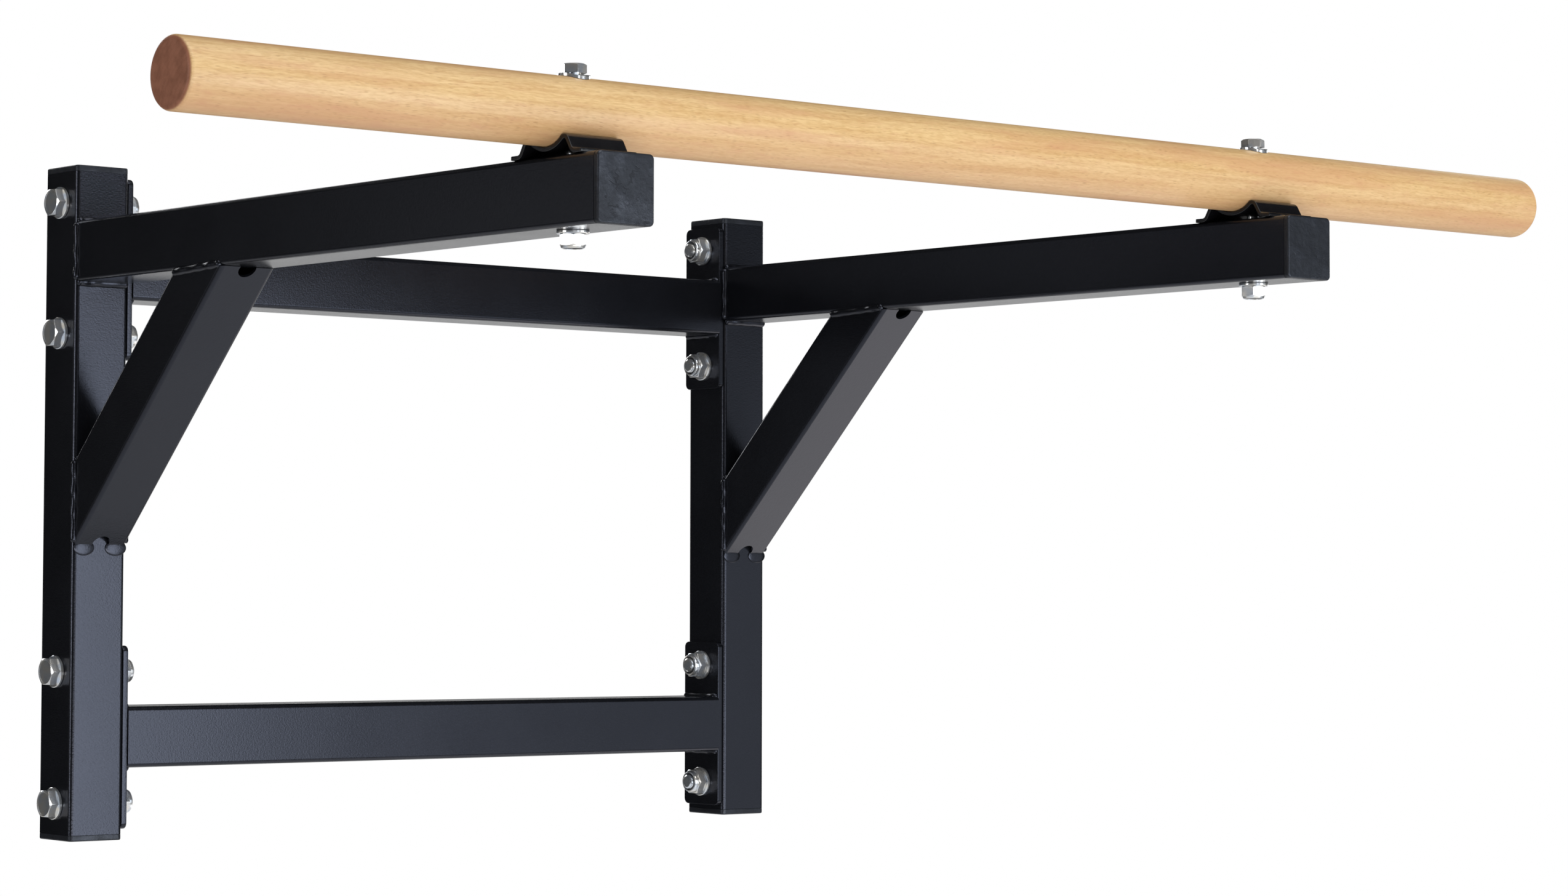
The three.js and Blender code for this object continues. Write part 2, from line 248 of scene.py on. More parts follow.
class Finish:
    """A material worked out from where a point lies on the part."""

    def __init__(self, name):
        self.material = bpy.data.materials.new(name)
        self.material.use_nodes = True
        self.material.node_tree.nodes.clear()
        self.place = self.add("ShaderNodeTexCoord").outputs["Object"]

    def add(self, kind, settings=None, sockets=None):
        """One node of the kind given, with its settings and its sockets' values or links."""
        node = self.material.node_tree.nodes.new(kind)
        for name, value in (settings or {}).items():
            setattr(node, name, value)
        for name, value in (sockets or {}).items():
            value = value.socket if isinstance(value, Amount) else value
            if isinstance(value, bpy.types.NodeSocket):
                self.material.node_tree.links.new(value, node.inputs[name])
            else:
                node.inputs[name].default_value = value
        return node

    def scaled(self, grain, place=None):
        """The place on the part, counted in grains of the given length, width and height."""
        scale = tuple(1 / size for size in grain)
        node = self.add("ShaderNodeMapping", {}, {"Vector": place or self.place, "Scale": scale})
        return node.outputs["Vector"]

    def noise(self, grain, detail=2.0, place=None):
        """Uneven patches of about the grain's size, from nought to one."""
        vector = self.scaled(grain, place)
        sockets = {"Vector": vector, "Scale": 1.0, "Detail": detail, "Roughness": 0.55}
        return Amount(self, self.add("ShaderNodeTexNoise", {}, sockets).outputs[0])

    def spots(self, grain, place=None):
        """The distance from the nearest of many scattered points, and a number of that point's own."""
        sockets = {"Vector": self.scaled(grain, place), "Scale": 1.0}
        node = self.add("ShaderNodeTexVoronoi", {"feature": "F1"}, sockets)
        share = self.add("ShaderNodeSeparateColor", {}, {0: node.outputs["Color"]})
        return Amount(self, node.outputs["Distance"]), Amount(self, share.outputs[0])

    def blend(self, amount, first, second):
        """The first colour where the amount is nought and the second where it is one."""
        node = self.add("ShaderNodeMix", {"data_type": "RGBA"}, {0: amount, 6: first, 7: second})
        return node.outputs[2]

    def bump(self, height, depth):
        """Raises the surface by the height times the depth."""
        return self.add("ShaderNodeBump", {}, {"Height": height, "Distance": depth}).outputs["Normal"]

    def surface(self, sockets):
        """The finished surface."""
        shader = self.add("ShaderNodeBsdfPrincipled", {}, sockets)
        self.add("ShaderNodeOutputMaterial", {}, {"Surface": shader.outputs["BSDF"]})
        return self.material


def powder_coat():
    """Baked powder: black, faintly blue, with the fine pebbled skin that the powder melts into, and
    scattered tiny specks of painted glint.
    """
    coat = Finish("powder coat")
    pebble = coat.noise((1.0 * mm,) * 3, 1.0)
    grit = coat.noise((1.9 * mm,) * 3, 1.0)
    cloud = coat.noise((45 * mm,) * 3, 3.0)
    distance, chance = coat.spots((2.2 * mm,) * 3)
    # Painted glint: scattered tiny specks of the base colour are raised toward the worn tone, standing in
    # for highlights off the pebbled skin.
    painted_glint = (1 - distance.fade(0.10, 0.22)) * chance.fade(0.80, 0.86)
    shade = coat.blend(cloud * 0.5 + pebble * 0.3 + painted_glint, coat_black, coat_worn_and_glint)
    skin = coat.bump(pebble * 0.6 + grit * 0.4, 0.085 * mm)
    return coat.surface(
        {
            "Base Color": shade,
            "Roughness": cloud * 0.05 + grit * 0.06 + 0.17,
            "Specular IOR Level": 0.5,
            "Specular Tint": coat_sheen,
            "Normal": skin,
        }
    )


coated = powder_coat()

for side in sides:
    node = f"upright_{side}"
    low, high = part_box(node)
    upright = square_tube(f"upright_tube_{side}", low, high, 2)
    for row in ("upper", "lower"):
        for hole in ("above", "below"):
            centre = centre_of(f"cross_bolt_{side}_{row}_{hole}")
            start = Vector((low.x - overshoot, centre.y, centre.z))
            drill(upright, bolt_hole, start, start + Vector((upright_bore, 0, 0)))
    middle_x = (low.x + high.x) / 2
    for height in keyhole_heights:
        back = Vector((middle_x, keyhole_reach, height))
        inside = Vector((middle_x, -keyhole_reach, height))
        rise = Vector((0, 0, keyhole_rise))
        drill(upright, keyhole_head, inside, back)
        drill(upright, keyhole_slot, inside + rise, back + rise)
        bpy.ops.mesh.primitive_cube_add(
            size=1,
            location=(inside + back + rise) / 2,
            scale=(keyhole_slot, 2 * keyhole_reach, keyhole_rise),
        )
        cut(upright, bpy.context.object)
    dress(upright, coated)
    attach(upright, "root")
    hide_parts(node)


# --------------------------------------------------------------------------------------------------
# Crossbars
# Two lengths of the same tube that hold the uprights apart. A flange plate closes each end, so the
# frame can be shipped flat and bolted up at the wall.
# --------------------------------------------------------------------------------------------------
for row in ("upper", "lower"):
    node = f"crossbar_{row}"
    crossbar = square_tube(f"crossbar_tube_{row}", *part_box(node), 0)
    dress(crossbar, coated)
    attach(crossbar, "root")
    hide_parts(node)


# --------------------------------------------------------------------------------------------------
# Flange plates
# Flat steel plates sheared from strip, with rounded corners and a bolt hole at each end, welded
# across the ends of the crossbars and bolted against the uprights' inner sides.
# --------------------------------------------------------------------------------------------------
plate_corner = 4 * mm
plate_edge = 0.5 * mm
plate_bore = 14 * mm

for side in sides:
    for row in ("upper", "lower"):
        node = f"flange_plate_{side}_{row}"
        low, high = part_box(node)
        bpy.ops.mesh.primitive_cube_add(size=1, location=(low + high) / 2, scale=high - low)
        plate = begin(f"bolting_plate_{side}_{row}")
        pick(plate, "EDGE", lambda middle, way: abs(way.x) > 0.9)
        bpy.ops.mesh.bevel(offset=plate_corner, segments=6, affect="EDGES")
        pick(plate, "EDGE", lambda middle, way: abs(way.x) < 0.1)
        bpy.ops.mesh.bevel(offset=plate_edge, segments=2, affect="EDGES")
        close(plate)
        for hole in ("above", "below"):
            centre = centre_of(f"cross_bolt_{side}_{row}_{hole}")
            start = Vector((low.x - overshoot, centre.y, centre.z))
            drill(plate, bolt_hole, start, start + Vector((plate_bore, 0, 0)))
        dress(plate, coated)
        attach(plate, "root")
        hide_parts(node)


# --------------------------------------------------------------------------------------------------
# Arms
# A length of the tube stands out from each upright, welded on square. The bolt that holds the bar
# goes down through both of its walls near the tip.
# --------------------------------------------------------------------------------------------------
bar_bolt_hole = 9 * mm

for side in sides:
    node = f"arm_{side}"
    low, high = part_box(node)
    arm = square_tube(f"arm_tube_{side}", low, high, 1)
    centre = centre_of(f"bar_bolt_{side}")
    drill(
        arm,
        bar_bolt_hole,
        Vector((centre.x, centre.y, low.z - overshoot)),
        Vector((centre.x, centre.y, high.z + overshoot)),
    )
    dress(arm, coated)
    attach(arm, "root")
    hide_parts(node)


# --------------------------------------------------------------------------------------------------
# Braces
# A mitred length of tube fills the corner under each arm. A half-round notch at each end of its
# outer wall lets the pickling and coating liquids drain out of the closed corner.
# --------------------------------------------------------------------------------------------------
vent_hole = 12.4 * mm
vent_inset = 2.5 * mm
weld_gap = 0.3 * mm

for side in sides:
    node = f"brace_{side}"
    low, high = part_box(node)
    corner = Vector(((low.x + high.x) / 2, high.y + weld_gap, high.z + weld_gap))
    reach = corner.y - low.y
    depth = high.x - low.x
    from_corner = reach / math.sqrt(2) - depth / 2
    outer_length = reach * math.sqrt(2)
    half = Vector((depth / 2, depth / 2, outer_length))
    brace = square_tube(f"brace_tube_{side}", -half, half, 2)
    for end in (-1, 1):
        height = end * (outer_length / 2 - vent_inset)
        drill(brace, vent_hole, Vector((0, 0, height)), Vector((0, -depth, height)))
    lean = Matrix.Rotation(math.radians(45), 4, "X")
    brace.data.transform(Matrix.Translation(corner) @ lean @ Matrix.Translation((0, -from_corner, 0)))
    wider = high - low + Vector((2 * overshoot, 0, 0))
    bpy.ops.mesh.primitive_cube_add(size=1, location=(low + high) / 2, scale=wider)
    cut(brace, bpy.context.object, "INTERSECT")
    dress(brace, coated)
    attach(brace, "root")
    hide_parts(node)


# --------------------------------------------------------------------------------------------------
# Welds
# Beads laid by hand wherever two pieces meet: a rope of small ripples that sags a little, coated
# with the rest. Arms, braces and crossbars are as wide as what they join, so many beads fill the
# groove at a rounded corner.
# --------------------------------------------------------------------------------------------------
ripple = 1.9 * mm
bead_sides = 12
side_bead = 2.4 * mm
top_bead = 2.6 * mm
under_bead = 3.2 * mm
brace_bead = 3.0 * mm
bead_core = 0.45
bead_end = 0.8
bead_tip = 0.4
bead_swell = 0.05
bead_dip = 0.965
bead_sway = 0.10
lump_stand = 0.8 * mm
lump_height = 10.5 * mm
lump_drop = 1.2 * mm
lump_wrap = 0.6 * mm
lump_overlap = 2 * mm
arm_groove = 0.6 * mm
brace_groove = 0.2 * mm
brace_lap = 0.8 * mm
side_inset = 1 * mm
foot_inset = 2 * mm
tip_inset = 3 * mm
crossbar_inset = 2 * mm


def bead(start, end, radius):
    """A weld bead from one point to another, as a row of low ripples with rounded ends."""
    way = end - start
    count = max(3, round(way.length / ripple))
    bpy.ops.mesh.primitive_circle_add(vertices=bead_sides, radius=radius * bead_core, fill_type="NGON")
    rope = begin("bead")
    height = 0.0
    size = radius * bead_core
    for step in range(2 * count):
        swell = 1.0 + bead_swell * math.sin(step * 0.5 + way.length * 900)
        wanted = radius * swell * (1.0 if step % 2 else bead_dip)
        if step == 0:
            wanted = radius * bead_end
        if step >= 2 * count - 2:
            wanted = radius * (bead_end if step == 2 * count - 2 else bead_tip)
        rise = way.length / (2 * count)
        sway = radius * bead_sway * (math.sin(step * 0.4) - math.sin((step - 1) * 0.4))
        height += rise
        bpy.ops.mesh.extrude_region_move(TRANSFORM_OT_translate={"value": (sway, 0, rise)})
        scale = wanted / size
        size = wanted
        bpy.ops.transform.resize(value=(scale, scale, 1), center_override=(0, 0, height))
    bpy.ops.mesh.select_all(action="SELECT")
    bpy.ops.mesh.normals_make_consistent(inside=False)
    close(rope)
    turn = way.to_track_quat("Z", "Y").to_matrix().to_4x4()
    rope.data.transform(Matrix.Translation(start) @ turn)
    return rope


def lump(left, right, face_y, z):
    """A broad smooth lump of weld metal lying on a face between two places."""
    centre = Vector(((left + right) / 2, face_y, z))
    bpy.ops.mesh.primitive_uv_sphere_add(segments=40, ring_count=24, radius=1, location=centre)
    metal = begin("lump")
    half = (right - left) / 2
    bpy.ops.transform.resize(value=(half, lump_stand, lump_height / 2), center_override=centre)
    return close(metal)


def weld(name, *beads):
    """Joins the beads of one joint into a piece and dresses it."""
    joint = join(*beads)
    joint.name = name
    joint.data.materials.clear()
    joint.data.materials.append(coated)
    bpy.ops.object.shade_smooth()
    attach(joint, "root")


for side in sides:
    low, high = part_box(f"arm_{side}")
    root = high.y
    left, right = low.x + arm_groove, high.x - arm_groove
    beads = [
        bead(Vector((x, root, high.z - side_inset)), Vector((x, root, low.z + side_inset)), side_bead)
        for x in (left, right)
    ]
    weld(
        f"weld_arm_{side}",
        *beads,
        bead(Vector((left, root, high.z)), Vector((right, root, high.z)), top_bead),
        bead(Vector((left, root, low.z)), Vector((right, root, low.z)), under_bead),
    )
    low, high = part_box(f"brace_{side}")
    depth = high.x - low.x
    seam = depth * math.sqrt(2)
    half_notch = vent_hole / 2
    left, right = low.x + brace_groove, high.x - brace_groove
    middle = (low.x + high.x) / 2
    top, front = high.z, high.y
    tip_end, wall_end = low.y + tip_inset, low.y + seam
    tip_z, wall_z = top + 2 * brace_lap, top - brace_lap
    inner_left, inner_right = left + brace_lap, right - brace_lap
    weld(
        f"weld_brace_top_{side}",
        bead(Vector((inner_left, wall_end, wall_z)), Vector((inner_left, tip_end, tip_z)), brace_bead),
        bead(Vector((inner_right, tip_end, tip_z)), Vector((inner_right, wall_end, wall_z)), brace_bead),
        bead(Vector((left, wall_end, top)), Vector((right, wall_end, top)), side_bead),
    )
    upper, lower = low.z + seam - side_inset, low.z + foot_inset
    lump_z = low.z - lump_drop
    weld(
        f"weld_brace_foot_{side}",
        bead(Vector((left, front, upper)), Vector((left, front, lower)), side_bead),
        bead(Vector((right, front, lower)), Vector((right, front, upper)), side_bead),
        lump(left, middle - half_notch + lump_overlap, front, lump_z),
        lump(middle + half_notch - lump_overlap, right + lump_wrap, front, lump_z),
        bead(Vector((left, front, low.z + seam)), Vector((right, front, low.z + seam)), side_bead),
    )
    for row in ("upper", "lower"):
        low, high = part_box(f"crossbar_{row}")
        x = low.x if side == "left" else high.x
        front, back = low.y + crossbar_inset, high.y - crossbar_inset
        weld(
            f"weld_crossbar_{side}_{row}",
            bead(Vector((x, front, high.z)), Vector((x, back, high.z)), top_bead),
            bead(Vector((x, back, low.z)), Vector((x, front, low.z)), top_bead),
        )


# --------------------------------------------------------------------------------------------------
# Tube caps
# Black moulded plastic plugs pushed into the open ends of the tubes: a thin flange with softened
# edges over a square plug. A fine groove shows where the flange meets the tube.
# --------------------------------------------------------------------------------------------------
cap_play = 0.3 * mm
plug_depth = 12 * mm
flange = 4 * mm
cap_groove = 0.45 * mm
cap_edge = 1.0 * mm
arm_cap_edge = 1.2 * mm
plug_taper = 0.97
plastic_black = (0.004, 0.0045, 0.006, 1)
plastic_rubbed = (0.018, 0.020, 0.026, 1)
plastic_sheen = (0.80, 0.86, 1.0, 1)


def tube_cap(name, size, thickness, softness):
    """A cap whose flange stands on Z = 0, with its plug below."""
    half = size / 2
    bpy.ops.mesh.primitive_cube_add(size=1, location=(0, 0, thickness / 2), scale=(size, size, thickness))
    cap = begin(name)
    pick(cap, "EDGE", lambda middle, way: abs(way.z) > 0.9)
    bpy.ops.mesh.bevel(offset=tube_corner, segments=6, affect="EDGES")
    pick(cap, "EDGE", lambda middle, way: middle.z < 0.02 * thickness and abs(way.z) < 0.1)
    bpy.ops.mesh.bevel(offset=cap_groove, segments=2, affect="EDGES")
    pick(cap, "FACE", lambda middle, way: way.z < -0.99)
    bpy.ops.mesh.inset(thickness=tube_wall + cap_play - cap_groove)
    bpy.ops.mesh.extrude_region_move(TRANSFORM_OT_translate={"value": (0, 0, -plug_depth)})
    bpy.ops.transform.resize(value=(plug_taper, plug_taper, 1), center_override=(0, 0, -plug_depth))
    pick(cap, "EDGE", lambda middle, way: middle.z > thickness * 0.98 and abs(way.z) < 0.1)
    bpy.ops.mesh.bevel(offset=softness, segments=4, affect="EDGES")
    return close(cap)


def moulded_plastic():
    """Moulded polyethylene: dull black, rubbed paler in patches, with faint marks from handling."""
    plastic = Finish("moulded plastic")
    cloud = plastic.noise((14 * mm,) * 3, 4.0)
    grain = plastic.noise((0.7 * mm,) * 3, 1.0)
    rubbed = cloud.fade(0.40, 0.70)
    ridge = plastic.noise((7 * mm, 7 * mm, 5 * mm), 1.5) - 0.5
    scuff = 1 - ridge.work("ABSOLUTE", ridge).fade(0.015, 0.05)
    scuff = scuff * plastic.noise((9 * mm,) * 3, 1.0).fade(0.56, 0.66)
    shade = plastic.blend(rubbed * 0.8 - scuff * 0.8, plastic_black, plastic_rubbed)
    return plastic.surface(
        {
            "Base Color": shade,
            "Roughness": 0.44 - rubbed * 0.14 + grain * 0.06 + scuff * 0.2,
            "Specular IOR Level": 0.5,
            "Specular Tint": plastic_sheen,
            "Normal": plastic.bump(cloud * 14 + grain * 0.7 - scuff * 1.3, 0.05 * mm),
        }
    )


plastic = moulded_plastic()

for side in sides:
    for end, up in (("top", 1), ("bottom", -1)):
        node = f"upright_cap_{side}_{end}"
        low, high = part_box(node)
        cap = tube_cap(f"end_cap_{side}_{end}", high.x - low.x, flange, cap_edge)
        base = high.z - flange if up > 0 else low.z + flange
        turn = Matrix.Rotation(0 if up > 0 else math.pi, 4, "X")
        place = Vector(((low.x + high.x) / 2, (low.y + high.y) / 2, base))
        cap.data.transform(Matrix.Translation(place) @ turn)
        dress(cap, plastic)
        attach(cap, "root")
        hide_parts(node)
    node = f"arm_cap_{side}"
    low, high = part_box(node)
    cap = tube_cap(f"arm_end_cap_{side}", high.x - low.x, flange, arm_cap_edge)
    turn = Matrix.Rotation(math.pi / 2, 4, "X")
    centre = Vector(((low.x + high.x) / 2, low.y + flange, (low.z + high.z) / 2))
    cap.data.transform(Matrix.Translation(centre) @ turn)
    dress(cap, plastic)
    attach(cap, "root")
    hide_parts(node)


# --------------------------------------------------------------------------------------------------
# Saddles
# Strips of steel sheet bent into a trough that the bar lies in, with two legs that stand on the arm
# and are tacked to it. They are painted a smoother, glossier black than the tubes.
# --------------------------------------------------------------------------------------------------
saddle_sheet = 2.5 * mm
saddle_lift = 2.7 * mm
saddle_depth = 6 * mm
saddle_bend = 2 * mm
saddle_leg = math.radians(60)
saddle_foot_bend = 4.25 * mm
saddle_foot_end = 31 * mm
saddle_edge = 0.5 * mm
tack_bead = 1.8 * mm
tack_inset = 9 * mm
seat_gap = 0.3 * mm
paint_black = (0.004, 0.004, 0.005, 1)
paint_grey = (0.009, 0.009, 0.011, 1)


def gloss_paint():
    """Sprayed enamel: smooth and deep black with a slow orange peel."""
    paint = Finish("saddle paint")
    peel = paint.noise((3.5 * mm,) * 3, 1.0)
    cloud = paint.noise((20 * mm,) * 3, 3.0)
    return paint.surface(
        {
            "Base Color": paint.blend(cloud, paint_black, paint_grey),
            "Roughness": cloud * 0.10 + 0.14,
            "Specular IOR Level": 0.4,
            "Normal": paint.bump(peel, 0.08 * mm),
        }
    )


painted = gloss_paint()

for side in sides:
    node = f"saddle_{side}"
    low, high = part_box(node)
    bar_low, bar_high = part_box("bar")
    arm_top = low.z
    bar_y = (bar_low.y + bar_high.y) / 2
    bar_z = (bar_low.z + bar_high.z) / 2
    sheet_middle = saddle_sheet / 2
    trough = (bar_high.y - bar_low.y) / 2 + seat_gap + sheet_middle
    bend = saddle_bend + sheet_middle
    ridge_z = arm_top + saddle_lift + saddle_sheet + saddle_depth - sheet_middle - bend
    ridge_y = math.sqrt((trough + bend) ** 2 - (bar_z - ridge_z) ** 2)
    trough_turn = math.atan2(bar_z - ridge_z, ridge_y)
    middle_x = (low.x + high.x) / 2
    bpy.ops.mesh.primitive_plane_add(size=high.x - low.x, location=(middle_x, 0, 0))
    saddle = begin(f"bar_saddle_{side}")
    pick(saddle, "VERT", lambda middle, way: middle.y > 0)
    bpy.ops.mesh.delete(type="VERT")
    pick(saddle, "VERT", lambda middle, way: True)
    ridge_end = ridge_y + bend * math.sin(saddle_leg)
    fall = ridge_z + bend * math.cos(saddle_leg)
    bend_z = arm_top + sheet_middle + saddle_foot_bend
    leg_drop = fall - bend_z + saddle_foot_bend * math.cos(saddle_leg)
    leg_run = leg_drop / math.tan(saddle_leg)
    bend_y = ridge_end + leg_run + saddle_foot_bend * math.sin(saddle_leg)
    toe = saddle_foot_end - bend_y
    shape = bmesh.from_edit_mesh(saddle.data)
    for corner in shape.verts:
        corner.co.y = bar_y - saddle_foot_end
        corner.co.z = arm_top + sheet_middle
    bmesh.update_edit_mesh(saddle.data)
    ridge_bend = saddle_leg + math.pi / 2 - trough_turn
    turns = (
        (toe, 0, -bend_y, bend_z, -saddle_leg, 6),
        (leg_run, leg_drop, -ridge_y, ridge_z, ridge_bend, 8),
        (0, 0, 0, bar_z, 2 * trough_turn - math.pi, 24),
        (0, 0, ridge_y, ridge_z, ridge_bend, 8),
        (leg_run, -leg_drop, bend_y, bend_z, -saddle_leg, 6),
    )
    for run, rise, y, z, angle, steps in turns:
        if run:
            bpy.ops.mesh.extrude_region_move(TRANSFORM_OT_translate={"value": (0, run, rise)})
        bpy.ops.mesh.spin(steps=steps, angle=angle, center=(0, bar_y + y, z), axis=(1, 0, 0))
    bpy.ops.mesh.extrude_region_move(TRANSFORM_OT_translate={"value": (0, toe, 0)})
    bpy.ops.mesh.select_all(action="SELECT")
    bpy.ops.mesh.remove_doubles(threshold=crumb)
    bpy.ops.mesh.normals_make_consistent(inside=False)
    close(saddle)
    apply(saddle, "SOLIDIFY", thickness=saddle_sheet, offset=0, use_even_offset=True)
    soften(saddle, saddle_edge, 3, 50)
    drill(saddle, bar_bolt_hole, Vector((middle_x, bar_y, arm_top)), Vector((middle_x, bar_y, bar_z)))
    dress(saddle, painted)
    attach(saddle, "root")
    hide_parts(node)
    left, right = low.x + tack_inset, high.x - tack_inset
    tacks = [
        bead(Vector((left, y, arm_top)), Vector((right, y, arm_top)), tack_bead) for y in (low.y, high.y)
    ]
    weld(f"weld_saddle_{side}", *tacks)


# --------------------------------------------------------------------------------------------------
# Bar
# A turned and sanded beech rod under a thin satin oil, its ends eased with a small round. It is
# bored through above each arm for the bolt that clamps it into its saddle.
# --------------------------------------------------------------------------------------------------
bar_round = 3 * mm
ring_width = 3.1 * mm
beech_pale = (0.75, 0.525, 0.255, 1)
beech_tan = (0.56, 0.33, 0.125, 1)
# The pink tone colours the wood's pinker patches and also the painted shade on the bar's underside.
beech_pink_and_underside_shade = (0.60, 0.32, 0.16, 1)
beech_fleck = (0.38, 0.185, 0.065, 1)
beech_end = (0.24, 0.085, 0.040, 1)
beech_end_pale = (0.37, 0.145, 0.080, 1)


def oiled_beech(centre, half_length):
    """Beech: straight, even grain with short dark ray flecks, pinker patches, painted shade that turns
    the underside pinker, and redder, denser end grain.
    """
    wood = Finish("oiled beech")
    shift = wood.add("ShaderNodeVectorMath", {"operation": "SUBTRACT"}, {0: wood.place, 1: centre})
    place = shift.outputs[0]
    parts = wood.add("ShaderNodeSeparateXYZ", {}, {0: place})
    along, across, up = (Amount(wood, parts.outputs[k]) for k in range(3))
    drift = wood.noise((320 * mm, 30 * mm, 30 * mm), 2.0, place)
    ring_y = across + along * 0.016 + drift * 9 * mm + 46 * mm
    ring_z = up - along * 0.010 + 31 * mm
    squares = ring_y * ring_y + ring_z * ring_z
    rings = squares.work("SQRT", squares) / ring_width
    ring = rings.work("FRACT", rings)
    late = ring.fade(0.55, 0.97)
    wave = (wood.noise((60 * mm, 10 * mm, 10 * mm), 2.0, place) - 0.5) * 6 * mm
    waves = wood.add("ShaderNodeCombineXYZ", {}, {"Y": wave, "Z": wave})
    waved = wood.add("ShaderNodeVectorMath", {"operation": "ADD"}, {0: place, 1: waves.outputs[0]})
    grain = waved.outputs[0]
    fibre = wood.noise((6 * mm, 0.7 * mm, 0.7 * mm), 3.0, grain)
    streak = wood.noise((90 * mm, 3.5 * mm, 3.5 * mm), 3.0, grain)
    mottle = wood.noise((16 * mm, 4 * mm, 4 * mm), 3.0, grain)
    patch = wood.noise((220 * mm, 20 * mm, 20 * mm), 3.0, place)
    distance, chance = wood.spots((5.5 * mm, 0.9 * mm, 0.9 * mm), grain)
    fleck = (1 - distance.fade(0.10, 0.45)) * chance.fade(0.35, 0.95)
    long_distance, long_chance = wood.spots((11 * mm, 1.6 * mm, 1.6 * mm), grain)
    dash = (1 - long_distance.fade(0.04, 0.26)) * long_chance.fade(0.60, 1.0)
    tone = late * 0.20 + fibre.fade(0.38, 0.66) * 0.45 + streak.fade(0.40, 0.60) * 0.35
    face = wood.blend(tone, beech_pale, beech_tan)
    # Painted shade: the lower side of the bar is blended toward the pink tone, standing in for the shade
    # that falls under it.
    underside = (up * -1).fade(-6 * mm, 18 * mm)
    blush_and_underside_shade = patch.fade(0.45, 0.70) * 0.6 + mottle.fade(0.5, 0.75) * 0.3 + underside * 0.45
    face = wood.blend(blush_and_underside_shade, face, beech_pink_and_underside_shade)
    face = wood.blend(fleck * 0.40 + dash * 0.48, face, beech_fleck)
    pore = wood.noise((0.6 * mm,) * 3, 2.0, place)
    stain = wood.noise((7 * mm,) * 3, 3.0, place)
    soak = stain.fade(0.35, 0.65) * 0.6 + pore.fade(0.3, 0.7) * 0.25 + late * 0.15
    end = wood.blend(soak, beech_end_pale, beech_end)
    cut_face = along.work("ABSOLUTE", along).fade(half_length - 1.6 * mm, half_length - 0.5 * mm)
    skin = fibre * 0.6 - fleck * 0.7 - dash * 0.6 + mottle
    return wood.surface(
        {
            "Base Color": wood.blend(cut_face, face, end),
            "Roughness": fibre * 0.12 + cut_face * 0.2 + 0.38,
            "Specular IOR Level": 0.5,
            "Coat Weight": 0.12,
            "Coat Roughness": 0.3,
            "Normal": wood.bump(skin, 0.06 * mm),
        }
    )


low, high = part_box("bar")
centre = (low + high) / 2
bpy.ops.mesh.primitive_cylinder_add(
    vertices=96,
    radius=(high.z - low.z) / 2,
    depth=high.x - low.x,
    location=centre,
    rotation=(0, math.pi / 2, 0),
)
bar = begin("beech_bar")
pick(bar, "EDGE", lambda middle, way: abs(way.x) < 0.5)
bpy.ops.mesh.bevel(offset=bar_round, segments=6, affect="EDGES")
close(bar)
for side in sides:
    top = Vector((centre_of(f"bar_bolt_{side}").x, centre.y, high.z + overshoot))
    drill(bar, bar_bolt_hole, top, Vector((top.x, top.y, low.z - overshoot)))
dress(bar, oiled_beech(centre, (high.x - low.x) / 2))
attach(bar, "root")
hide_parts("bar")


# --------------------------------------------------------------------------------------------------
# Cross bolts
# Zinc plated M10 hex bolts through the uprights and the flange plates, a flat washer under each
# head and each nut. The nuts are lock nuts, with a black nylon ring held in a round collar.
# --------------------------------------------------------------------------------------------------
zinc_blue = (0.74, 0.79, 0.86, 1)
zinc_warm = (0.84, 0.82, 0.78, 1)
nylon_black = (0.018, 0.018, 0.020, 1)
cross_flats = 17 * mm
cross_head = 6.4 * mm
cross_shank = 10 * mm
cross_length = 60 * mm
cross_pitch = 1.5 * mm
cross_washer = 2 * mm
cross_washer_outer = 21 * mm
cross_washer_bore = 10.6 * mm
cross_nut_hex = 7 * mm
cross_nut_height = 10 * mm
cross_collar = 15.6 * mm
thread_length = 12 * mm
thread_tip = 0.8 * mm
thread_play = 0.6 * mm
ring_depth = 2.4 * mm


def bright_zinc():
    """Blue passivated zinc: bright, with a faint warm and blue bloom and fine scratches."""
    zinc = Finish("bright zinc")
    bloom = zinc.noise((7 * mm,) * 3, 2.0)
    scratch = zinc.noise((0.25 * mm, 1.6 * mm, 0.25 * mm), 1.0)
    return zinc.surface(
        {
            "Base Color": zinc.blend(bloom.fade(0.35, 0.65), zinc_blue, zinc_warm),
            "Metallic": 0.85,
            "Roughness": bloom * 0.12 + scratch * 0.10 + 0.08,
            "Normal": zinc.bump(scratch, 0.01 * mm),
        }
    )


def nylon():
    """The lock nuts' rings: dull black nylon."""
    ring = Finish("nylon ring")
    grain = ring.noise((0.8 * mm,) * 3, 1.0)
    return ring.surface(
        {
            "Base Color": ring.blend(grain, nylon_black, plastic_rubbed),
            "Roughness": grain * 0.15 + 0.4,
            "Normal": ring.bump(grain, 0.02 * mm),
        }
    )


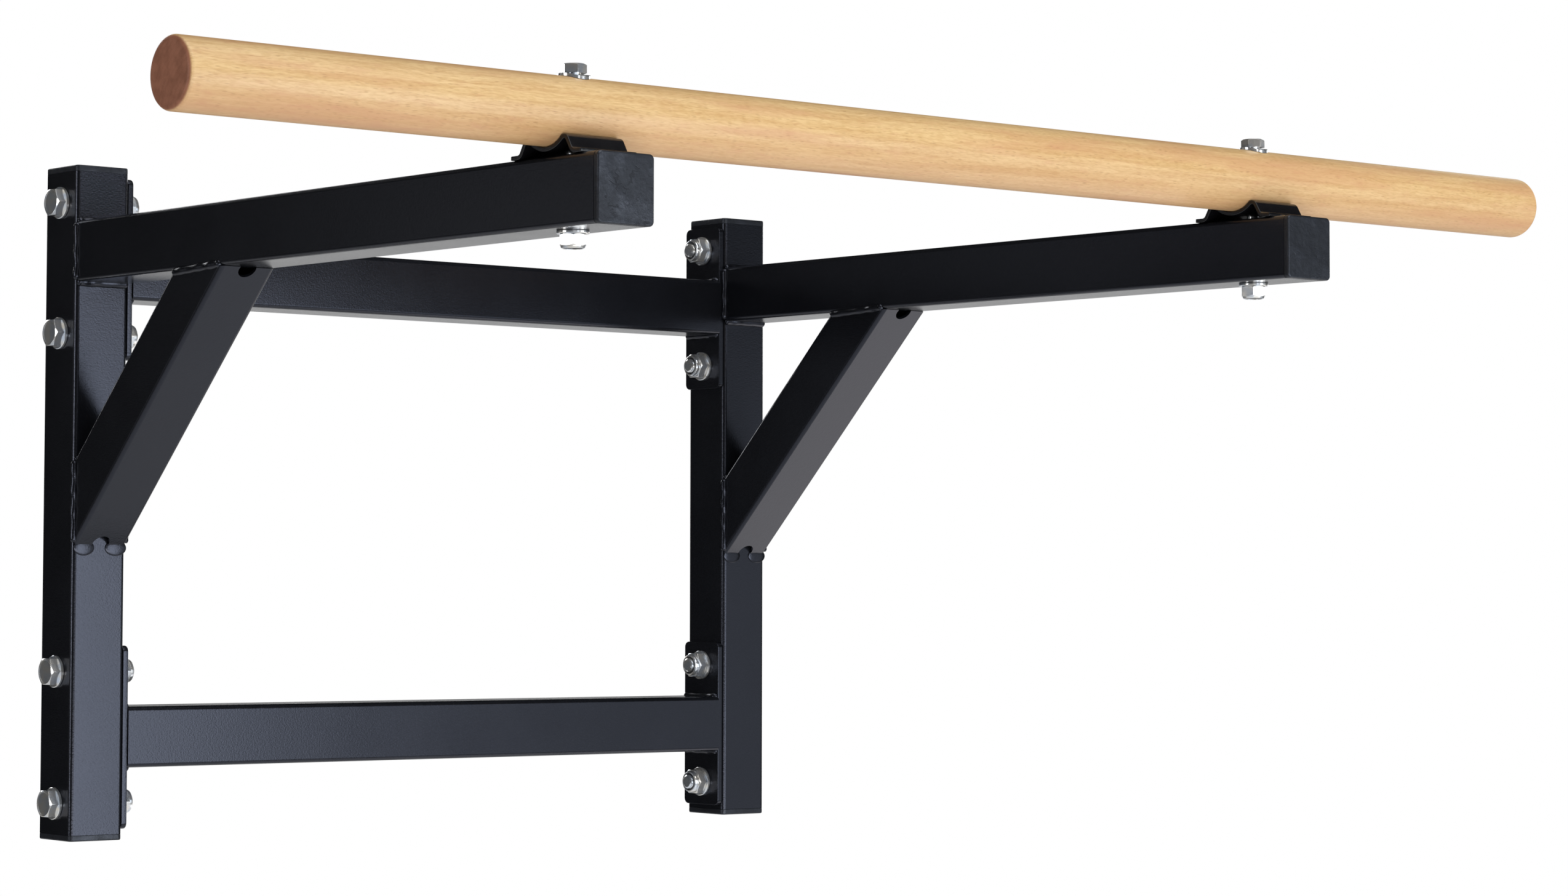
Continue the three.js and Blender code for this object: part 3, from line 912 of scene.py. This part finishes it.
def turned(name, profile, facets=48, ring=False):
    """Turned on the lathe about Z from (radius, height) pairs. A ring closes back on its first pair."""
    radius, height = profile[0]
    fill = "NOTHING" if ring else "NGON"
    base = (0, 0, height)
    bpy.ops.mesh.primitive_circle_add(vertices=facets, radius=radius, fill_type=fill, location=base)
    piece = begin(name)
    for next_radius, next_height in profile[1:]:
        bpy.ops.mesh.extrude_region_move(TRANSFORM_OT_translate={"value": (0, 0, next_height - height)})
        scale = next_radius / radius
        bpy.ops.transform.resize(value=(scale, scale, 1), center_override=(0, 0, next_height))
        radius, height = next_radius, next_height
    if ring:
        first_radius, first_height = profile[0]
        pick(
            piece,
            "EDGE",
            lambda middle, way: abs(way.z) < 0.1
            and (
                (abs(middle.z - first_height) < 1e-6 and abs(middle.xy.length - first_radius) < 0.05 * mm)
                or (abs(middle.z - height) < 1e-6 and abs(middle.xy.length - radius) < 0.05 * mm)
            ),
        )
        bpy.ops.mesh.bridge_edge_loops()
    bpy.ops.mesh.select_all(action="SELECT")
    bpy.ops.mesh.normals_make_consistent(inside=False)
    return close(piece)


def hexagon(name, flats, height, crown, both_ends=False, dish=0):
    """Hexagon stock on Z = 0, its corners turned off around a round face at the top or both ends."""
    corners = flats / math.cos(math.pi / 6)
    stock = height + 1 * mm
    lift = (0, 0, stock / 2)
    bpy.ops.mesh.primitive_cylinder_add(vertices=6, radius=corners / 2, depth=stock, location=lift)
    piece = close(begin(name))
    rim = corners / 2 + 0.1 * mm
    fall = (rim - crown / 2) * math.tan(math.radians(30))
    foot = [(crown / 2, 0), (rim, fall)] if both_ends else [(rim, -1 * mm)]
    face = [(crown / 2, height)]
    if dish:
        face.append((crown / 2 - 2.5 * dish, height - dish))
    tool = turned("lathe cut", foot + [(rim, height - fall)] + face, 72)
    cut(piece, tool, "INTERSECT")
    return piece


def threads(radius, pitch, start, end):
    """The lathe profile of a few thread crests between two heights."""
    profile = []
    height = start
    while height < end - pitch:
        root = radius - 0.55 * pitch
        profile += [(radius, height), (radius, height + 0.15 * pitch)]
        profile += [(root, height + 0.5 * pitch), (root, height + 0.6 * pitch)]
        height += pitch
    return profile


def hex_bolt(name, flats, head, shank, length, pitch):
    """A bolt whose head stands on Z = 0 and whose shank hangs below, threaded at its tip."""
    piece = hexagon(name, flats, head, flats * 0.94, dish=flats * 0.03)
    radius = shank / 2
    profile = [(radius - 1 * mm, -length), (radius, thread_tip - length)]
    profile += threads(radius, pitch, thread_tip + 0.15 * pitch - length, thread_length - length)
    profile += [(radius, thread_length - length), (radius, 1 * mm)]
    cut(piece, turned("shank", profile, 40), "UNION")
    soften(piece, 0.22 * mm, 2, 40)
    return piece


def lock_nut(name, flats, hex_height, height, collar, shank):
    """A nut that stands on Z = 0, with its collar and nylon ring on top."""
    piece = hexagon(name, flats, hex_height, flats * 0.96, both_ends=True)
    rim = collar / 2
    collar_profile = [
        (rim, hex_height / 2),
        (rim, height - 1.2 * mm),
        (rim - 0.35 * mm, height - 0.4 * mm),
        (rim - 1.1 * mm, height),
    ]
    cut(piece, turned("collar", collar_profile), "UNION")
    drill(piece, shank + thread_play, Vector((0, 0, -1 * mm)), Vector((0, 0, height + 1 * mm)))
    well = rim - 1.5 * mm
    mouth = (0, 0, height + 0.9 * mm)
    bpy.ops.mesh.primitive_cylinder_add(vertices=40, radius=well, depth=4 * mm, location=mouth)
    cut(piece, bpy.context.object)
    soften(piece, 0.2 * mm, 2, 40)
    inner = shank / 2 - 0.1 * mm
    ring_profile = [
        (inner, height - ring_depth),
        (well, height - ring_depth),
        (well, height - 0.5 * mm),
        (inner + 0.5 * mm, height - 0.35 * mm),
        (inner, height - 0.8 * mm),
    ]
    ring = turned("nylon", ring_profile, 40, ring=True)
    piece.data.materials.append(zinc)
    ring.data.materials.append(nylon_ring)
    return join(piece, ring)


def flat_washer(name, outer, bore, thickness):
    """A stamped washer on Z = 0, its edges a little rolled over."""
    roll = 0.35 * mm
    return turned(
        name,
        [
            (bore / 2, 0),
            (outer / 2 - roll, 0),
            (outer / 2, roll),
            (outer / 2, thickness - roll),
            (outer / 2 - roll, thickness),
            (bore / 2 + roll, thickness),
            (bore / 2, thickness - roll),
        ],
        56,
        ring=True,
    )


def placed(pattern, name, matrix):
    """A copy of a finished pattern, with its own mesh, at the place given."""
    piece = pattern.copy()
    piece.data = pattern.data.copy()
    piece.name = name
    bpy.context.collection.objects.link(piece)
    piece.data.transform(matrix)
    return piece


zinc = bright_zinc()
nylon_ring = nylon()

bolt_pattern = hex_bolt("bolt pattern", cross_flats, cross_head, cross_shank, cross_length, cross_pitch)
nut_pattern = lock_nut(
    "nut pattern", cross_flats, cross_nut_hex, cross_nut_height, cross_collar, cross_shank
)
washer_pattern = flat_washer("washer pattern", cross_washer_outer, cross_washer_bore, cross_washer)

for side in sides:
    out = -1 if side == "left" else 1
    outward = Matrix.Rotation(out * math.pi / 2, 4, "Y")
    inward = Matrix.Rotation(-out * math.pi / 2, 4, "Y")
    for row in ("upper", "lower"):
        for hole in ("above", "below"):
            name = f"{side}_{row}_{hole}"
            for kind, pattern, turn, foot in (
                ("cross_head_washer", washer_pattern, outward, -out),
                ("cross_bolt", bolt_pattern, outward, None),
                ("cross_nut_washer", washer_pattern, inward, out),
                ("cross_nut", nut_pattern, inward, out),
            ):
                node = f"{kind}_{name}"
                low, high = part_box(node)
                middle = (low + high) / 2
                if kind == "cross_bolt":
                    x = high.x - cross_head if out > 0 else low.x + cross_head
                else:
                    x = high.x if foot > 0 else low.x
                place = Matrix.Translation((x, middle.y, middle.z)) @ turn
                piece = placed(pattern, f"{kind}_zinc_{name}", place)
                if kind == "cross_nut":
                    dress(piece)
                else:
                    dress(piece, zinc)
                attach(piece, "root")
                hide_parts(node)
for pattern in (bolt_pattern, nut_pattern, washer_pattern):
    bpy.data.objects.remove(pattern)


# --------------------------------------------------------------------------------------------------
# Bar bolts
# Long M8 hex bolts down through the bar, its saddle and the arm, on washers bent to sit on the
# round bar. A lock nut holds each one under its arm, on a flat washer that comes with the nut.
# --------------------------------------------------------------------------------------------------
bar_flats = 13 * mm
bar_head = 5.3 * mm
bar_shank = 8 * mm
bar_bolt_length = 97 * mm
bar_pitch = 1.25 * mm
bar_nut_flats = 14.5 * mm
bar_nut_hex = 8.6 * mm
bar_nut_height = 10 * mm
bar_nut_collar = 13.8 * mm
bar_nut_washer = 18.6 * mm
bar_nut_washer_thickness = 1.8 * mm
bar_washer_thickness = 1.5 * mm
bar_bolt_turn = {"left": 39, "right": 50}
bar_low, bar_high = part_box("bar")
bar_centre = (bar_low + bar_high) / 2

for side in sides:
    low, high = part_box(f"bar_bolt_{side}")
    middle = (low + high) / 2
    turn = Matrix.Rotation(math.radians(bar_bolt_turn[side]), 4, "Z")
    bolt = hex_bolt(f"bar_bolt_zinc_{side}", bar_flats, bar_head, bar_shank, bar_bolt_length, bar_pitch)
    bolt.data.transform(Matrix.Translation((middle.x, middle.y, high.z - bar_head)) @ turn)
    dress(bolt, zinc)
    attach(bolt, "root")
    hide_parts(f"bar_bolt_{side}")

    low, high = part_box(f"bar_washer_{side}")
    inner = (bar_high.z - bar_low.z) / 2 + seat_gap
    reach = high.x - low.x
    along = (0, math.pi / 2, 0)
    spot = (middle.x, bar_centre.y, bar_centre.z)
    bpy.ops.mesh.primitive_cylinder_add(
        vertices=160,
        radius=inner + bar_washer_thickness,
        depth=reach * 1.5,
        location=spot,
        rotation=along,
    )
    washer = close(begin(f"bar_washer_zinc_{side}"))
    bpy.ops.mesh.primitive_cylinder_add(
        vertices=160, radius=inner, depth=reach * 2, location=spot, rotation=along
    )
    cut(washer, bpy.context.object)
    bpy.ops.mesh.primitive_cylinder_add(
        vertices=64, radius=reach / 2, depth=20 * mm, location=(middle.x, bar_centre.y, bar_high.z)
    )
    cut(washer, bpy.context.object, "INTERSECT")
    drill(washer, bar_bolt_hole, Vector(spot), Vector((*spot[:2], bar_high.z + 10 * mm)))
    soften(washer, 0.25 * mm, 2, 50)
    dress(washer, zinc)
    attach(washer, "root")
    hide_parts(f"bar_washer_{side}")

    low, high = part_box(f"bar_nut_{side}")
    washer = flat_washer("nut washer", bar_nut_washer, bar_shank + thread_play, bar_nut_washer_thickness)
    washer.data.materials.append(zinc)
    nut = lock_nut(
        f"bar_nut_zinc_{side}",
        bar_nut_flats,
        bar_nut_hex - bar_nut_washer_thickness,
        bar_nut_height - bar_nut_washer_thickness,
        bar_nut_collar,
        bar_shank,
    )
    nut.data.transform(Matrix.Translation((0, 0, bar_nut_washer_thickness)))
    join(nut, washer)
    over = Matrix.Rotation(math.pi, 4, "X")
    nut.data.transform(Matrix.Translation((middle.x, middle.y, high.z)) @ over @ turn)
    dress(nut)
    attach(nut, "root")
    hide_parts(f"bar_nut_{side}")


# --------------------------------------------------------------------------------------------------
# Floor, light and camera
# A pale studio floor far enough below for a part that hangs on a wall, broad soft lamps, and a
# camera that looks at the frame's left side from a little below the upper crossbar.
# --------------------------------------------------------------------------------------------------
floor_drop = 1.8
bpy.ops.mesh.primitive_circle_add(vertices=64, radius=60, fill_type="NGON", location=(0, 0, -floor_drop))
floor = close(begin("studio_floor"))
pale = Finish("studio floor")
spot = pale.add("ShaderNodeVectorMath", {"operation": "LENGTH"}, {0: pale.place})
away = Amount(pale, spot.outputs["Value"]).fade(1.5, 6.0)
paths = pale.add("ShaderNodeLightPath")
mirrored = Amount(pale, paths.outputs["Is Glossy Ray"])
mirrored += Amount(pale, paths.outputs["Is Transmission Ray"])
matt = pale.add("ShaderNodeBsdfDiffuse", {}, {"Color": (0.85, 0.85, 0.85, 1)})
glow = pale.add("ShaderNodeEmission", {}, {"Color": (1, 1, 1, 1), "Strength": 1.0})
shown = Amount(pale, paths.outputs["Is Camera Ray"]) * (away * 0.6 + 0.4) + mirrored * (1 - away) * 0.35
mixed = pale.add("ShaderNodeMixShader", {}, {0: shown, 1: matt.outputs[0], 2: glow.outputs[0]})
# The floor is clear from below, so that the part's underside can be looked at
side_seen = pale.add("ShaderNodeNewGeometry").outputs["Backfacing"]
clear = pale.add("ShaderNodeBsdfTransparent")
one_sided = pale.add("ShaderNodeMixShader", {}, {0: side_seen, 1: mixed.outputs[0], 2: clear.outputs[0]})
pale.add("ShaderNodeOutputMaterial", {}, {"Surface": one_sided.outputs[0]})
floor.data.materials.append(pale.material)
floor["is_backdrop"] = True

world = bpy.data.worlds.new("studio")
bpy.context.scene.world = world
world.use_nodes = True
nodes, links = world.node_tree.nodes, world.node_tree.links
nodes.clear()
paths = nodes.new("ShaderNodeLightPath")
seen = nodes.new("ShaderNodeMath")
seen.operation = "MULTIPLY_ADD"
seen.inputs[1].default_value = 0.98
seen.inputs[2].default_value = 0.02
links.new(paths.outputs["Is Camera Ray"], seen.inputs[0])
sky = nodes.new("ShaderNodeBackground")
sky.inputs["Color"].default_value = (1, 1, 1, 1)
links.new(seen.outputs[0], sky.inputs["Strength"])
links.new(sky.outputs[0], nodes.new("ShaderNodeOutputWorld").inputs[0])


def lamp(name, place, target, width, height, power, colour=(1, 1, 1)):
    """A soft box that faces the target."""
    light = bpy.data.lights.new(name, "AREA")
    light.shape = "RECTANGLE"
    light.size = width
    light.size_y = height
    light.energy = power
    light.color = colour
    holder = bpy.data.objects.new(name, light)
    bpy.context.scene.collection.objects.link(holder)
    holder.location = place
    holder.visible_camera = False
    holder.rotation_euler = (Vector(target) - Vector(place)).to_track_quat("-Z", "Y").to_euler()
    return holder


lamp("main lamp", (1.9, -2.7, -0.45), (0, 0, -0.2), 2.4, 1.4, 8, (0.90, 0.95, 1.0))
lamp("inner lamp", (0.95, -2.6, -0.45), (0, 0, -0.2), 0.9, 1.5, 19, (0.90, 0.95, 1.0))
lamp("key lamp", (-0.35, -3.2, 0.1), (0, -0.2, -0.1), 0.35, 1.6, 5)
lamp("high front lamp", (0.2, -2.6, 1.9), (0, -0.4, 0), 2.0, 0.8, 23)
lamp("low front lamp", (-0.6, -2.8, -0.9), (0, -0.4, 0), 2.6, 0.7, 32)
lamp("left lamp", (-3.2, 0.0, 0.1), (0, -0.2, 0), 1.0, 1.4, 22)
lamp("rear left lamp", (-2.7, 2.2, 0.0), (0, -0.3, 0), 0.8, 1.2, 1.1)
low_lamp = lamp("low lamp", (1.6, -0.5, -1.6), (0, -0.2, 0), 1.6, 1.0, 2.1, (1.0, 0.92, 0.87))
low_lamp.data.spread = math.radians(120)
lamp("overhead lamp", (-0.2, -1.2, 2.6), (0, -0.3, 0), 3.0, 2.4, 48)
lamp("rear lamp", (0.4, 3.8, 1.3), (0, -0.2, -0.1), 2.4, 1.4, 45)
lamp("right lamp", (3.8, 0.7, 0.9), (0, -0.3, -0.1), 1.8, 1.4, 30)
lamp("back lamp", (3.2, 3.0, -0.5), (0, -0.2, 0), 4.5, 1.6, 16)

lens = bpy.data.cameras.new("camera")
lens.sensor_width = 36
lens.lens = 87.71
lens.shift_x = 0.2017
lens.shift_y = -0.0424
lens.clip_end = 200
camera = bpy.data.objects.new("camera", lens)
bpy.context.scene.collection.objects.link(camera)
heading = Matrix.Rotation(-0.6477, 4, "Z")
tilt = Matrix.Rotation(math.pi / 2 + 0.0525, 4, "X")
roll = Matrix.Rotation(0.0064, 4, "Z")
turn = heading @ tilt @ roll
camera.matrix_world = Matrix.Translation((-1.5991, -2.1822, -0.2049)) @ turn
bpy.context.scene.camera = camera
bpy.context.scene.view_settings.view_transform = "Standard"

low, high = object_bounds()
